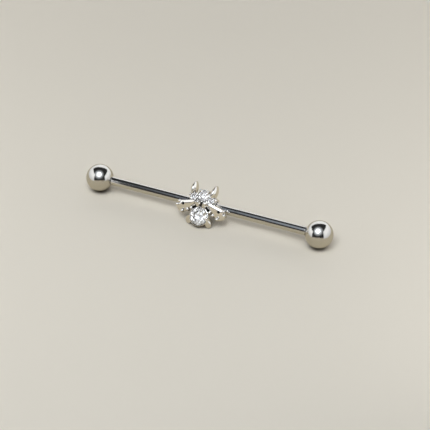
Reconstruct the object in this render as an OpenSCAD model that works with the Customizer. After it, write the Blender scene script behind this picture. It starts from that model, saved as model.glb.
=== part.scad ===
// Straight barbell for two piercings, with a screwed ball at each end and a jewelled charm in the middle.
// The barbell lies on its two balls and the charm's lower rim, with the charm's face leaning back.
// All sizes are millimetres. X runs along the shaft, Z is up, and the charm faces -Y and up.

/* [Shaft] */
// Length of the shaft between the two balls
shaft_len = 38; // [32:0.5:44]
// Diameter of the shaft
shaft_d = 1.6; // [1.2:0.1:2]
// Height and depth of the chamfer at each end of the shaft
shaft_edge = 0.14; // [0.05:0.01:0.2]
// Diameter of the threaded stud that stands out of each end
stud_d = 1.2; // [0.9:0.05:1.4]
// Length of the threaded stud
stud_len = 2.1; // [1.5:0.1:2.6]
// Length of the stretch behind the charm that is ground thinner, as the charm's seat
ground_len = 10.8; // [10.6:0.1:14]
// How much smaller the ground stretch's radius is
ground_depth = 0.02; // [0.01:0.005:0.05]
// Length of the slow taper at each end of the ground stretch
ground_taper = 0.6; // [0.55:0.05:1]

/* [Balls] */
// Diameter of each ball
ball_d = 5; // [4:0.25:6]
// Diameter of the flat seat that meets the end of the shaft
seat_d = 1.6; // [1.4:0.1:2.4]
// Gap between the seat and the end of the shaft
seat_gap = 0.03; // [0.02:0.01:0.1]
// Gap all round the stud in its socket
socket_gap = 0.06; // [0.04:0.01:0.12]
// Depth of the socket past the end of the stud
socket_spare = 0.4; // [0.2:0.1:0.8]
// Height and depth of the chamfer at the socket's mouth
socket_edge = 0.08; // [0.03:0.01:0.1]

/* [Charm place] */
// How far the charm sits from the middle of the shaft
charm_shift = -0.4; // [-2:0.1:2]
// Length of the sleeve that holds the charm on the shaft
sleeve_len = 3.2; // [2:0.1:5]
// Wall of the sleeve
sleeve_wall = 0.42; // [0.3:0.02:0.6]
// Gap between the sleeve and the shaft
sleeve_gap = 0.03; // [0.02:0.01:0.06]
// Gap between the shaft and the back of the cups
cup_back_gap = 0.15; // [0.1:0.01:0.4]

/* [Stones] */
// Diameter of the main stone
main_d = 3.2; // [2.6:0.1:3.8]
// Distance of the main stone's centre below the shaft's axis, in the face
main_drop = 2.3; // [2.1:0.05:2.8]
// Diameter of the stone above the shaft
top_d = 2.0; // [1.8:0.1:2.4]
// Clear space between the main stone and the top stone
stone_bridge = 1.15; // [0.9:0.05:1.6]
// Diameter of the two stones that flank the top stone
flank_d = 1.4; // [1.2:0.1:1.8]
// Clear space between the top stone and each flank stone
flank_space = 0.1; // [0.1:0.01:0.3]
// How far each flank stone sits below the top stone, as an angle round it
flank_angle = 18; // [10:1:30]
// Height of the stones' girdles above the back of their cups
girdle_rise = 1.02; // [0.9:0.02:1.3]
// Thickness of the girdle
girdle_t = 0.08; // [0.04:0.01:0.14]
// Gap between each stone and the metal round it
stone_gap = 0.03; // [0.02:0.01:0.06]
// Table width as a share of the stone's diameter
table_share = 0.56; // [0.5:0.01:0.65]
// Crown height as a share of the stone's diameter
crown_share = 0.16; // [0.12:0.01:0.2]
// Pavilion depth as a share of the stone's diameter
pavilion_share = 0.43; // [0.38:0.01:0.46]

/* [Cups] */
// Wall of each stone's cup beside its girdle
cup_wall = 0.18; // [0.12:0.02:0.3]
// How far each cup's rim stays below the girdle
cup_rim_drop = 0.05; // [0.02:0.01:0.15]
// Width of the hole through a cup's back, as a share of the stone's diameter
cup_hole_share = 0.5; // [0.3:0.05:0.6]

/* [Side petals] */
// Radius of each side petal at its wide outer end
petal_r = 1.1; // [0.9:0.02:1.3]
// Radius of each side petal at its narrow inner end
petal_tip_r = 0.8; // [0.5:0.02:0.9]
// Distance between the centres of the side petal's two ends
petal_reach = 2.3; // [2:0.05:3]
// Slope of the side petal down and outwards
petal_slope = 22; // [15:1:38]
// How far the side petal's narrow end stands in from the flank stone's centre
petal_inward = 0.26; // [0:0.02:0.5]
// How far the side petal's narrow end stands below the flank stone's cup
petal_down = 0.26; // [0:0.02:0.5]
// Height of the side petal at its lower edge
petal_edge_h = 0.3; // [0.25:0.05:0.6]
// Height of the side petal's ridge, near its upper edge, at the narrow end
petal_ridge_h = 1.45; // [1.2:0.05:1.6]
// How much lower the ridge is at the wide end
petal_ridge_fall = 0.45; // [0:0.05:0.6]
// Width of the flat band on the side petal's ridge
petal_ridge_w = 0.42; // [0.3:0.02:0.7]
// How far the band on the ridge turns up the face
petal_ridge_turn = 8; // [0:1:20]
// Width left between the ridge and the petal's upper edge
petal_ridge_inset = 0.15; // [0.1:0.01:0.4]
// How far the side petal's back lies in front of the back of the stones' cups
petal_step = 0.1; // [0:0.05:0.3]
// Diameter of the beads along the petal's edge
bead_d = 0.58; // [0.4:0.02:0.8]
// Height of the beads' centres
bead_h = 0.8; // [0.5:0.05:1]
// How far the beads' centres stand in from the petal's edge
bead_inset = 0.14; // [0:0.02:0.2]
// Diameter of the round pit sunk into each side petal's slope
pit_d = 0.54; // [0.3:0.02:0.7]
// Distance of the pit from the petal's narrow end
pit_x = 2; // [1.2:0.05:2.4]
// Distance of the pit above the petal's middle line
pit_y = 0.32; // [0:0.02:0.5]
// Height of the pit's floor above the petal's back
pit_floor = 0.15; // [0.1:0.01:0.4]

/* [Ears and claws] */
// Length of each ear
ear_len = 2.3; // [1.6:0.05:2.8]
// Width of each ear
ear_w = 0.96; // [0.8:0.02:1.4]
// Height of an ear's ridge above the girdles
ear_rise = 1.75; // [0.5:0.05:2.2]
// Height of an ear's underside above the back of the cups
ear_lift = 0.5; // [0:0.05:0.6]
// Angle round the flank stone at which each ear stands on it
ear_angle = 74; // [40:1:90]
// How far each ear leans out from upright
ear_lean = 3; // [0:1:25]
// How much an ear drops towards its point, as a share of its height
ear_fall = 0.2; // [0:0.02:0.4]
// Width of the flat along an ear's ridge, as a share of the ear's width
ear_ridge_share = 0.25; // [0.1:0.01:0.4]
// Height of an ear's side edges, as a share of its ridge's height
ear_shoulder = 0.74; // [0.4:0.02:0.8]
// Length of each lower claw
claw_len = 1.9; // [1.3:0.05:2.2]
// Width of each lower claw
claw_w = 1.12; // [0.7:0.02:1.2]
// Angle below level, round the main stone, at which each lower claw grips it
claw_angle = -8; // [-14:1:10]
// Slope of each lower claw below level
claw_slope = 70; // [55:1:80]
// How far the ears and claws reach over their stones
grip = 0.14; // [0.05:0.01:0.2]
// Angle of each upper claw above level, round the main stone
bridge_claw_angle = 74; // [60:1:78]
// Length of each upper claw
bridge_claw_len = 1.45; // [1:0.05:1.8]
// Width of each upper claw
bridge_claw_w = 1.15; // [0.5:0.05:1.3]
// How much higher an upper claw's round end is than its tip, as a share of its height
bridge_claw_climb = 0.5; // [0:0.05:0.6]
// Width of the flat along a claw's ridge, as a share of the claw's width
ridge_share = 0.42; // [0.2:0.02:0.6]
// Height of the claws' ridges above the girdles
claw_rise = 0.42; // [0.25:0.02:0.6]
// How much lower a lower claw's round end is than its tip, as a share of its height
claw_fall = 0.8; // [0:0.02:0.85]
// Diameter of the small round claws
prong_d = 0.55; // [0.35:0.05:0.6]
// Height of the small round claws above the girdles
prong_rise = 0.26; // [0.15:0.01:0.4]
// Angle of the small round claws above level, round the top stone
top_prong_angle = 50; // [42:1:75]
// Angle of the small round claws above level, round the flank stones
flank_prong_angle = 20; // [5:1:35]

/* [Hidden] */

// Where the hole in a cup's back meets the pavilion, as a share of the pavilion's depth
hole_top_share = 0.6;
// How far a cut runs past the face that it opens
overcut = 0.01;

// Fineness of the round forms
round_fn = 48;
claw_fn = 20;
bead_fn = 18;

// Places of the balls, worked out from the shaft and the seats
shaft_r = shaft_d / 2;
ball_r = ball_d / 2;
seat_depth = sqrt(ball_r * ball_r - seat_d * seat_d / 4);
ball_x = shaft_len / 2 + seat_gap + seat_depth;
socket_len = seat_gap + stud_len + socket_spare;

// Heights in the charm, measured out of its face from the shaft's axis
bore_r = shaft_r + sleeve_gap;
sleeve_r = bore_r + sleeve_wall;
back_n = shaft_r + cup_back_gap;
girdle_n = back_n + girdle_rise;

// Places of the stones in the charm's face: x along the shaft, y up the face
main_y = -main_drop;
top_y = main_y + main_d / 2 + stone_bridge + top_d / 2;
flank_pitch = top_d / 2 + flank_space + flank_d / 2;
flank_x = flank_pitch * cos(flank_angle);
flank_y = top_y - flank_pitch * sin(flank_angle);

// Radius of each stone's cup
main_cup_r = main_d / 2 + cup_wall;
top_cup_r = top_d / 2 + cup_wall;
flank_cup_r = flank_d / 2 + cup_wall;

// The lean at which the main cup's back edge comes down to the level of the balls' undersides
low_y = main_cup_r - main_y;
lean = asin(ball_r / sqrt(low_y * low_y + back_n * back_n)) + atan2(back_n, low_y);

// Half widths and ridge heights along a claw, from its narrow tip to its round end
// columns: share of the length, share of the half width, share of the height
CLAW = [
    [0.00, 0.30, 0.78],
    [0.16, 0.58, 0.94],
    [0.36, 0.84, 1.00],
    [0.60, 1.00, 1.00],
    [0.80, 0.92, 0.96],
    [0.93, 0.66, 0.84],
    [1.00, 0.30, 0.62]
];
// The same along an ear, from its foot to its point
EAR = [
    [0.00, 0.50, 0.84],
    [0.18, 0.80, 0.94],
    [0.38, 1.00, 1.00],
    [0.60, 0.92, 0.98],
    [0.82, 0.60, 0.86],
    [1.00, 0.16, 0.70]
];
// Height of a claw's side edges as a share of its ridge's height
claw_shoulder = 0.62;

// Place of the side petal's narrow end, below the flank cup
petal_x = flank_x - petal_inward;
petal_y = flank_y - flank_cup_r - petal_down;
petal_n = back_n + petal_step;

// Beads along the side petal's edge, on the right petal's outline
// columns: share of the reach, angle from the petal's length
BEADS = [
    [1.00, 68],
    [1.00, 22],
    [1.00, -80],
    [0.66, -97],
    [0.32, -97]
];

// The reach of the main cup's rim in front of the shaft's axis, which sets where the whole stands in Y
front_y = low_y * cos(lean) + (girdle_n - cup_rim_drop) * sin(lean);
axis_y = (front_y - ball_r) / 2;

function ring(count, r, z, turn = 0) =
    [for (i = [0 : count - 1]) [r * cos(turn + 360 * i / count), r * sin(turn + 360 * i / count), z]];

// Radial places of the crown's and the pavilion's middle corners
function crown_mid_r(d) = d / 2 * (table_share + 1) / 2 * 1.03;
function crown_mid_z(d) =
    let (rt = d / 2 * table_share, zt = girdle_t / 2 + d * crown_share)
    zt + (girdle_t / 2 - zt) * (crown_mid_r(d) * cos(22.5) - rt) / (d / 2 - rt);
function pavilion_mid_r(d) = d / 2 * 0.62;
function pavilion_mid_z(d) =
    let (zc = girdle_t / 2 + d * pavilion_share)
    -zc + (zc - girdle_t / 2) * pavilion_mid_r(d) * cos(22.5) / (d / 2);

// A round brilliant with its girdle's middle at the origin and its table up
module brilliant(d) {
    table_z = girdle_t / 2 + d * crown_share;
    culet_z = -girdle_t / 2 - d * pavilion_share;
    points = concat(
        ring(8, d / 2 * table_share / cos(22.5), table_z, 22.5),
        ring(8, crown_mid_r(d), crown_mid_z(d)),
        ring(16, d / 2, girdle_t / 2),
        ring(16, d / 2, -girdle_t / 2),
        ring(8, pavilion_mid_r(d), pavilion_mid_z(d)),
        [[0, 0, culet_z]]
    );
    mid = 8;
    upper = 16;
    lower = 32;
    deep = 48;
    culet = 56;
    faces = concat(
        [[for (i = [7 : -1 : 0]) i]],
        [for (i = [0 : 7]) [i, mid + i, (i + 7) % 8]],
        [for (i = [0 : 7]) each [
            [i, upper + 2 * i + 1, mid + i],
            [i, mid + (i + 1) % 8, upper + 2 * i + 1]
        ]],
        [for (i = [0 : 7]) each [
            [mid + i, upper + 2 * i + 1, upper + 2 * i],
            [mid + i, upper + 2 * i, upper + (2 * i + 15) % 16]
        ]],
        [for (j = [0 : 15]) each [
            [upper + j, lower + (j + 1) % 16, lower + j],
            [upper + j, upper + (j + 1) % 16, lower + (j + 1) % 16]
        ]],
        [for (i = [0 : 7]) each [
            [deep + i, lower + 2 * i, lower + 2 * i + 1],
            [deep + i, lower + (2 * i + 15) % 16, lower + 2 * i]
        ]],
        [for (i = [0 : 7]) each [
            [culet, deep + i, lower + 2 * i + 1],
            [culet, lower + 2 * i + 1, deep + (i + 1) % 8]
        ]]
    );
    polyhedron(points, faces);
}

// The round space that a stone and its gap take out of the metal
module stone_space(d) {
    g = stone_gap;
    r = d / 2 + g;
    rotate_extrude($fn = round_fn)
        polygon([
            [0, -girdle_t / 2 - d * pavilion_share - g],
            [pavilion_mid_r(d) + g, pavilion_mid_z(d) - g],
            [r, -girdle_t / 2 - g],
            [r, girdle_t / 2 + g],
            [crown_mid_r(d) + g, crown_mid_z(d) + g],
            [d / 2 * table_share / cos(22.5) + g, girdle_t / 2 + d * crown_share + g],
            [0, girdle_t / 2 + d * crown_share + g]
        ]);
}

module at_main() {
    translate([0, main_y, girdle_n]) children();
}

module at_top() {
    translate([0, top_y, girdle_n]) children();
}

module at_flank(side) {
    translate([side * flank_x, flank_y, girdle_n]) children();
}

// Carries the charm's own frame to its place on the shaft, leaning back
module in_place() {
    translate([charm_shift, axis_y, ball_r]) rotate([lean, 0, 0]) children();
}

// A leaf with a flat underside and a flat along its ridge, its narrow tip at the origin and its
// length along +X. outline is its table of widths and heights, and fall is how much lower its far end
// is than its tip, as a share of its height. flat is the ridge's share of the width, and side is the
// share of the height of its side edges.
module leaf(outline, length, width, height, fall, flat, side) {
    rows = len(outline);
    points = [for (s = outline)
        let (x = s[0] * length, w = s[1] * width / 2, h = s[2] * height * (1 - fall * s[0])) each [
        [x, -w, 0],
        [x, w, 0],
        [x, w, h * side],
        [x, w * flat, h],
        [x, -w * flat, h],
        [x, -w, h * side]
    ]];
    faces = concat(
        [[for (k = [0 : 5]) k]],
        [[for (k = [5 : -1 : 0]) 6 * (rows - 1) + k]],
        [for (i = [0 : rows - 2]) for (k = [0 : 5]) each [
            [6 * i + k, 6 * (i + 1) + k, 6 * (i + 1) + (k + 1) % 6],
            [6 * i + k, 6 * (i + 1) + (k + 1) % 6, 6 * i + (k + 1) % 6]
        ]]
    );
    polyhedron(points, faces);
}

// A thin round plate for one end of the band on the side petal's ridge, at height h
module ridge_end(x, end_r, h) {
    translate([x, end_r - petal_ridge_inset - petal_ridge_w / 2, h])
        rotate([-petal_ridge_turn, 0, 0]) translate([0, 0, -petal_edge_h / 2])
            cylinder(h = petal_edge_h / 2, d = petal_ridge_w, $fn = claw_fn);
}

module stone_cup(d) {
    depth = girdle_rise - cup_rim_drop;
    translate([0, 0, -girdle_rise])
        cylinder(h = depth, r = d / 2 + cup_wall, $fn = round_fn);
}

// The round hole through a cup's back, up into the space for its stone
module cup_hole(d) {
    hole_top = -d * pavilion_share * hole_top_share;
    translate([0, 0, -girdle_rise - overcut])
        cylinder(h = hole_top + girdle_rise + overcut, d = d * cup_hole_share, $fn = round_fn);
}

// One side petal, on the right: a low outline, a ridge near its upper edge, beads on its rim and a pit
module side_petal() {
    translate([petal_x, petal_y, petal_n]) rotate(-petal_slope) difference() {
        union() {
            hull() {
                cylinder(h = petal_edge_h, r = petal_tip_r, $fn = 24);
                translate([petal_reach, 0, 0]) cylinder(h = petal_edge_h, r = petal_r, $fn = 32);
                ridge_end(0, petal_tip_r, petal_ridge_h);
                ridge_end(petal_reach, petal_r, petal_ridge_h - petal_ridge_fall);
            }
            for (b = BEADS)
                translate([b[0] * petal_reach, 0, 0]) rotate(b[1])
                    translate([petal_tip_r + b[0] * (petal_r - petal_tip_r) - bead_inset, 0, 0]) {
                        cylinder(h = bead_h, d = bead_d, $fn = claw_fn);
                        translate([0, 0, bead_h]) sphere(d = bead_d, $fn = bead_fn);
                    }
        }
        translate([pit_x, pit_y, pit_floor]) cylinder(h = petal_ridge_h, d = pit_d, $fn = claw_fn);
    }
}

// The ears and the claws on the right
module side_leaves() {
    height = girdle_rise + claw_rise;
    ear_h = girdle_rise + ear_rise - ear_lift;
    translate([flank_x, flank_y, back_n + ear_lift]) rotate(ear_angle) translate([flank_d / 2 - grip, 0, 0])
        rotate(90 - ear_lean - ear_angle)
            leaf(EAR, ear_len, ear_w, ear_h, ear_fall, ear_ridge_share, ear_shoulder);
    translate([0, main_y, back_n]) rotate(-claw_angle) translate([main_d / 2 - grip, 0, 0])
        rotate(claw_angle - claw_slope)
            leaf(CLAW, claw_len, claw_w, height, claw_fall, ridge_share, claw_shoulder);
    translate([0, main_y, back_n]) rotate(bridge_claw_angle) translate([main_d / 2 - grip, 0, 0])
        leaf(CLAW, bridge_claw_len, bridge_claw_w, height, -bridge_claw_climb, ridge_share, claw_shoulder);
}

// A small round claw at an angle round a stone
module prong(d, angle) {
    rotate(angle) translate([d / 2 + prong_d / 2 - grip, 0, -girdle_rise]) {
        cylinder(h = girdle_rise + prong_rise, d = prong_d, $fn = claw_fn);
        translate([0, 0, girdle_rise + prong_rise]) sphere(d = prong_d, $fn = bead_fn);
    }
}

module shaft() {
    color("silver") translate([0, axis_y, ball_r]) rotate([0, 90, 0])
        rotate_extrude($fn = round_fn)
            polygon([
                [0, -shaft_len / 2 - stud_len],
                [stud_d / 2 - shaft_edge, -shaft_len / 2 - stud_len],
                [stud_d / 2, -shaft_len / 2 - stud_len + shaft_edge],
                [stud_d / 2, -shaft_len / 2],
                [shaft_r - shaft_edge, -shaft_len / 2],
                [shaft_r, -shaft_len / 2 + shaft_edge],
                [shaft_r, -ground_len / 2 - ground_taper],
                [shaft_r - ground_depth, -ground_len / 2],
                [shaft_r - ground_depth, ground_len / 2],
                [shaft_r, ground_len / 2 + ground_taper],
                [shaft_r, shaft_len / 2 - shaft_edge],
                [shaft_r - shaft_edge, shaft_len / 2],
                [stud_d / 2, shaft_len / 2],
                [stud_d / 2, shaft_len / 2 + stud_len - shaft_edge],
                [stud_d / 2 - shaft_edge, shaft_len / 2 + stud_len],
                [0, shaft_len / 2 + stud_len]
            ]);
}

// A ball with its socket's mouth towards -X, its centre at the origin
module ball() {
    socket_r = stud_d / 2 + socket_gap;
    difference() {
        sphere(r = ball_r, $fn = round_fn);
        translate([-ball_r - seat_depth, -ball_r, -ball_r]) cube([ball_r, ball_d, ball_d]);
        translate([-ball_r, 0, 0]) rotate([0, 90, 0])
            cylinder(h = ball_r - seat_depth + socket_len, r = socket_r, $fn = round_fn);
        translate([-seat_depth, 0, 0]) rotate([0, 90, 0])
            cylinder(h = socket_edge, r1 = socket_r + socket_edge, r2 = socket_r, $fn = round_fn);
    }
}

module ball_right() {
    color("silver") translate([ball_x, axis_y, ball_r]) ball();
}

module ball_left() {
    color("silver") translate([-ball_x, axis_y, ball_r]) mirror([1, 0, 0]) ball();
}

// The whole cast setting: cups, side petals, ears, claws and sleeve in one piece
module charm_setting() {
    color("gainsboro") in_place() difference() {
        union() {
            translate([-sleeve_len / 2, 0, 0]) rotate([0, 90, 0])
                cylinder(h = sleeve_len, r = sleeve_r, $fn = round_fn);
            at_main() stone_cup(main_d);
            at_top() {
                stone_cup(top_d);
                for (angle = [top_prong_angle, 180 - top_prong_angle]) prong(top_d, angle);
            }
            for (side = [1, -1]) {
                at_flank(side) stone_cup(flank_d);
                at_flank(side) prong(flank_d, side > 0 ? flank_prong_angle : 180 - flank_prong_angle);
                mirror([side < 0 ? 1 : 0, 0, 0]) {
                    side_petal();
                    side_leaves();
                }
            }
        }
        translate([-sleeve_len, 0, 0]) rotate([0, 90, 0])
            cylinder(h = 2 * sleeve_len, r = bore_r, $fn = round_fn);
        at_main() {
            stone_space(main_d);
            cup_hole(main_d);
        }
        at_top() {
            stone_space(top_d);
            cup_hole(top_d);
        }
        for (side = [1, -1]) at_flank(side) {
            stone_space(flank_d);
            cup_hole(flank_d);
        }
    }
}

module main_stone() {
    color("white") in_place() at_main() brilliant(main_d);
}

module top_stone() {
    color("white") in_place() at_top() brilliant(top_d);
}

module flank_stone_left() {
    color("white") in_place() at_flank(-1) brilliant(flank_d);
}

module flank_stone_right() {
    color("white") in_place() at_flank(1) brilliant(flank_d);
}

shaft();
ball_left();
ball_right();
charm_setting();
main_stone();
top_stone();
flank_stone_left();
flank_stone_right();
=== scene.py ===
"""Dresses a straight barbell with a jewelled charm as it lies on a pale floor under soft light.

The barbell rests on its two balls and on the lower rim of the charm. Sizes are in millimetres, and
points are turned to metres when they become a mesh. X runs along the shaft, Z is up, and the charm
faces -Y and up.
"""

from __future__ import annotations

import logging
import math
from dataclasses import dataclass, field
from enum import Enum

import bpy
import numpy as np
from mathutils import Matrix, Vector


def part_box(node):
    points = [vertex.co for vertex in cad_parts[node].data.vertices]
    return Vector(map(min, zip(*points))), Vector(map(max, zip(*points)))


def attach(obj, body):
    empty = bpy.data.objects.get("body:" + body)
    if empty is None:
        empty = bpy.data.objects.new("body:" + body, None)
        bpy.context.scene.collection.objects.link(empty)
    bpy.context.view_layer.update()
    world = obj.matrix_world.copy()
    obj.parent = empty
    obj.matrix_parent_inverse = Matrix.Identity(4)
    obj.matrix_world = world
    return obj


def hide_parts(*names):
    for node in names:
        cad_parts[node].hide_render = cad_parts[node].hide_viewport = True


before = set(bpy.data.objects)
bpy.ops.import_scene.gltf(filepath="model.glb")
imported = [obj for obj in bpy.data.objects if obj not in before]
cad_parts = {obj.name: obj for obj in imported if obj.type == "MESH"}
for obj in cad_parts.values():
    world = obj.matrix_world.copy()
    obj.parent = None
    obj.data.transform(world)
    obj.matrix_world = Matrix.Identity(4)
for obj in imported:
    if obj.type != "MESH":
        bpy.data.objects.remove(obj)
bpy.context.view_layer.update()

MM = 0.001
FULL_TURN = 2 * math.pi
log = logging.getLogger("barbell")

# Nearly all of a noise's values lie between these two
NOISE_LOW = 0.3
NOISE_HIGH = 0.7

# Lays a shape that stands on Z along the shaft
LIE_DOWN = Matrix.Rotation(math.radians(90), 4, "Y")


class Side(Enum):
    """A side of the barbell, by its sign along the shaft."""

    LEFT = -1
    RIGHT = 1

    def mirror(self) -> Matrix:
        """Nothing for the right side, and a mirror across the charm's middle for the left."""
        return Matrix.Diagonal((self.value, 1, 1, 1))


@dataclass(frozen=True)
class Shell:
    """A closed surface: its points in mm, and its four-sided and three-sided faces by point number."""

    points: np.ndarray
    quads: np.ndarray
    fans: np.ndarray

    def moved(self, place: Matrix) -> Shell:
        """Carries the shell to another place.

        Args:
            place: the 4 by 4 matrix that turns, shifts or mirrors the points.

        Returns:
            The moved shell, with its faces still pointing outwards where the matrix mirrors.
        """
        turn = np.array(place.to_3x3())
        points = self.points @ turn.T + np.array(place.to_translation())
        step = -1 if np.linalg.det(turn) < 0 else 1
        return Shell(points, self.quads[:, ::step], self.fans[:, ::step])


def joined(shells: list[Shell]) -> Shell:
    """Puts several shells into one.

    Args:
        shells: the shells, which may overlap.

    Returns:
        One shell, which counts their points on from each other.
    """
    starts = np.cumsum([0] + [len(shell.points) for shell in shells[:-1]])
    return Shell(
        np.concatenate([shell.points for shell in shells]),
        np.concatenate([shell.quads + start for shell, start in zip(shells, starts)]),
        np.concatenate([shell.fans + start for shell, start in zip(shells, starts)]),
    )


def capped_grid(grid: np.ndarray, start: np.ndarray, end: np.ndarray) -> Shell:
    """Closes a grid whose rows run round into a shell with a point at each end.

    Formula: a quad joins each point and the next one round its row to the same two of the next row,
    and a fan of triangles joins each end row to its end point.

    Args:
        grid: rows by columns by 3, each row once round, anticlockwise seen from the last row.
        start: the point that closes the first row.
        end: the point that closes the last row.

    Returns:
        The closed shell, with its faces outwards.
    """
    rows, columns, _ = grid.shape
    here = np.arange(rows * columns).reshape(rows, columns)
    onward = np.roll(here, -1, axis=1)
    quads = np.stack([here[:-1], onward[:-1], onward[1:], here[1:]], axis=-1).reshape(-1, 4)
    first = np.full(columns, rows * columns)
    fans = np.concatenate([
        np.stack([first, onward[0], here[0]], axis=-1),
        np.stack([first + 1, here[-1], onward[-1]], axis=-1),
    ])
    return Shell(np.concatenate([grid.reshape(-1, 3), [start], [end]]), quads, fans)


def turned(radii: np.ndarray, heights: np.ndarray, columns: int) -> Shell:
    """Turns a profile round Z, as on a lathe.

    Formula: the point of a row at turn t is (radius cos t, radius sin t, height). The first and the
    last row lie on the axis, and each becomes one point.

    Args:
        radii: radius of each row, or of each row at each column.
        heights: height of each row.
        columns: number of points round.

    Returns:
        The closed shell.
    """
    turn = np.linspace(0, FULL_TURN, columns, endpoint=False)
    radius = np.broadcast_to(radii.reshape(len(heights), -1), (len(heights), columns))[1:-1]
    height = np.broadcast_to(heights[1:-1, None], radius.shape)
    grid = np.stack([radius * np.cos(turn), radius * np.sin(turn), height], axis=-1)
    return capped_grid(grid, np.array([0, 0, heights[0]]), np.array([0, 0, heights[-1]]))


def eased(corners: np.ndarray, radius: float, steps: int = 4, most: float = 0.45) -> np.ndarray:
    """Rounds the inner corners of a polyline.

    Formula: each corner gives way to a quadratic curve that has the corner as its handle, and that
    starts and ends at the radius from it along its two sides, or at the largest share of a short side.

    Args:
        corners: the polyline's points, two or more columns.
        radius: distance from each corner at which its curve starts and ends.
        steps: number of pieces in each curve.
        most: largest share of a side that a curve takes.

    Returns:
        The rounded polyline, which keeps its two end points.
    """
    corner = corners[1:-1]
    sides = np.stack([corners[:-2], corners[2:]]) - corner
    lengths = np.linalg.norm(sides, axis=-1, keepdims=True)
    start, end = corner + sides / lengths * np.minimum(radius, most * lengths)
    t = np.linspace(0, 1, steps + 1)[:, None, None]
    curves = (1 - t) ** 2 * start + 2 * t * (1 - t) * corner + t**2 * end
    inner = curves.transpose(1, 0, 2).reshape(-1, corners.shape[1])
    return np.concatenate([corners[:1], inner, corners[-1:]])


def smooth_step(t: np.ndarray) -> np.ndarray:
    """Rises smoothly from 0 to 1 as t does: 3 t squared minus 2 t cubed, held flat outside."""
    t = np.clip(t, 0, 1)
    return t * t * (3 - 2 * t)


def mesh_piece(name: str, shell: Shell) -> bpy.types.Object:
    """Makes a shell a mesh object.

    Args:
        name: the object's name.
        shell: its surface, in mm.

    Returns:
        The object, at the origin, with its mesh in metres and in its place.
    """
    mesh = bpy.data.meshes.new(name)
    mesh.from_pydata((shell.points * MM).tolist(), [], shell.quads.tolist() + shell.fans.tolist())
    mesh.validate()
    piece = bpy.data.objects.new(name, mesh)
    bpy.context.scene.collection.objects.link(piece)
    return piece


def settle(piece: bpy.types.Object) -> None:
    """Applies a piece's modifiers to its mesh.

    Args:
        piece: the mesh object, which keeps no modifiers.
    """
    depsgraph = bpy.context.evaluated_depsgraph_get()
    made = bpy.data.meshes.new_from_object(piece.evaluated_get(depsgraph))
    before = piece.data
    piece.modifiers.clear()
    piece.data = made
    bpy.data.meshes.remove(before)


def shade(piece: bpy.types.Object, crease: float) -> None:
    """Shades a piece smooth, with hard edges where faces meet at more than crease degrees."""
    piece.data.shade_smooth()
    piece.data.set_sharp_from_angle(angle=math.radians(crease))


def adopt(piece: bpy.types.Object, body: str, slot: str, material: bpy.types.Material, *nodes: str) -> None:
    """Dresses a finished piece and ties it to the part.

    Args:
        piece: the new mesh object.
        body: CAD body that it moves with.
        slot: material slot of the record that its finish stands for; not used.
        material: what its surface is made of.
        nodes: CAD nodes that it stands for.
    """
    piece.data.materials.clear()
    piece.data.materials.append(material)
    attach(piece, body)
    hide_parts(*nodes)
    log.info("%s: %d faces, rides on %s", piece.name, len(piece.data.polygons), body)


def linear(hex_colour: str) -> tuple[float, float, float, float]:
    """Turns an sRGB colour to a linear one.

    Args:
        hex_colour: the colour in hex, such as #c8c6c2.

    Returns:
        Linear red, green and blue, and an alpha of 1.
    """
    parts = np.array([int(hex_colour[i : i + 2], 16) for i in (1, 3, 5)]) / 255
    parts = np.where(parts <= 0.04045, parts / 12.92, ((parts + 0.055) / 1.055) ** 2.4)
    return (*parts.tolist(), 1.0)


def add_node(
    tree: bpy.types.NodeTree,
    kind: str,
    inputs: dict[str | int, object] | None = None,
    settings: dict[str, object] | None = None,
) -> bpy.types.Node:
    """Adds a node, with its settings and links.

    Args:
        tree: node tree that gets it.
        kind: the node's type.
        inputs: for each input, by name or number, the value it holds or the output linked to it.
        settings: the node's own properties.

    Returns:
        The new node.
    """
    node = tree.nodes.new(kind)
    for name, value in (settings or {}).items():
        setattr(node, name, value)
    for name, value in (inputs or {}).items():
        if isinstance(value, bpy.types.NodeSocket):
            tree.links.new(value, node.inputs[name])
        else:
            node.inputs[name].default_value = value
    return node


def new_material(name: str) -> tuple[bpy.types.Material, bpy.types.NodeTree, bpy.types.NodeSocket]:
    """Makes an empty material.

    Args:
        name: the material's name.

    Returns:
        The material, its node tree, and its Object coordinates, in metres.
    """
    material = bpy.data.materials.new(name)
    material.use_nodes = True
    material.node_tree.nodes.clear()
    coordinates = add_node(material.node_tree, "ShaderNodeTexCoord")
    return material, material.node_tree, coordinates.outputs["Object"]


def stretched_noise(
    tree: bpy.types.NodeTree,
    coordinates: bpy.types.NodeSocket,
    spacing: tuple[float, float, float],
    detail: float,
    fineness: float = 0.6,
) -> bpy.types.NodeSocket:
    """Adds noise whose grains have a real size along each axis.

    Args:
        tree: node tree that gets it.
        coordinates: Object coordinates, in metres.
        spacing: size of a grain along X, Y and Z, in mm.
        detail: how many finer layers lie on it.
        fineness: how strong each finer layer is beside the one before it.

    Returns:
        The noise's value, from 0 to 1.
    """
    per_metre = tuple(1 / (size * MM) for size in spacing)
    mapping = add_node(tree, "ShaderNodeMapping", {"Vector": coordinates, "Scale": per_metre})
    noise = add_node(
        tree,
        "ShaderNodeTexNoise",
        {"Vector": mapping.outputs["Vector"], "Scale": 1.0, "Detail": detail, "Roughness": fineness},
    )
    return noise.outputs["Fac"]


class Lay(Enum):
    """Which way the fine marks of polishing run, as the size of a mark along X, Y and Z in mm."""

    ROUND_THE_SHAFT = (0.05, 1.6, 1.6)
    EVERY_WAY = (0.35, 0.35, 0.35)


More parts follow.
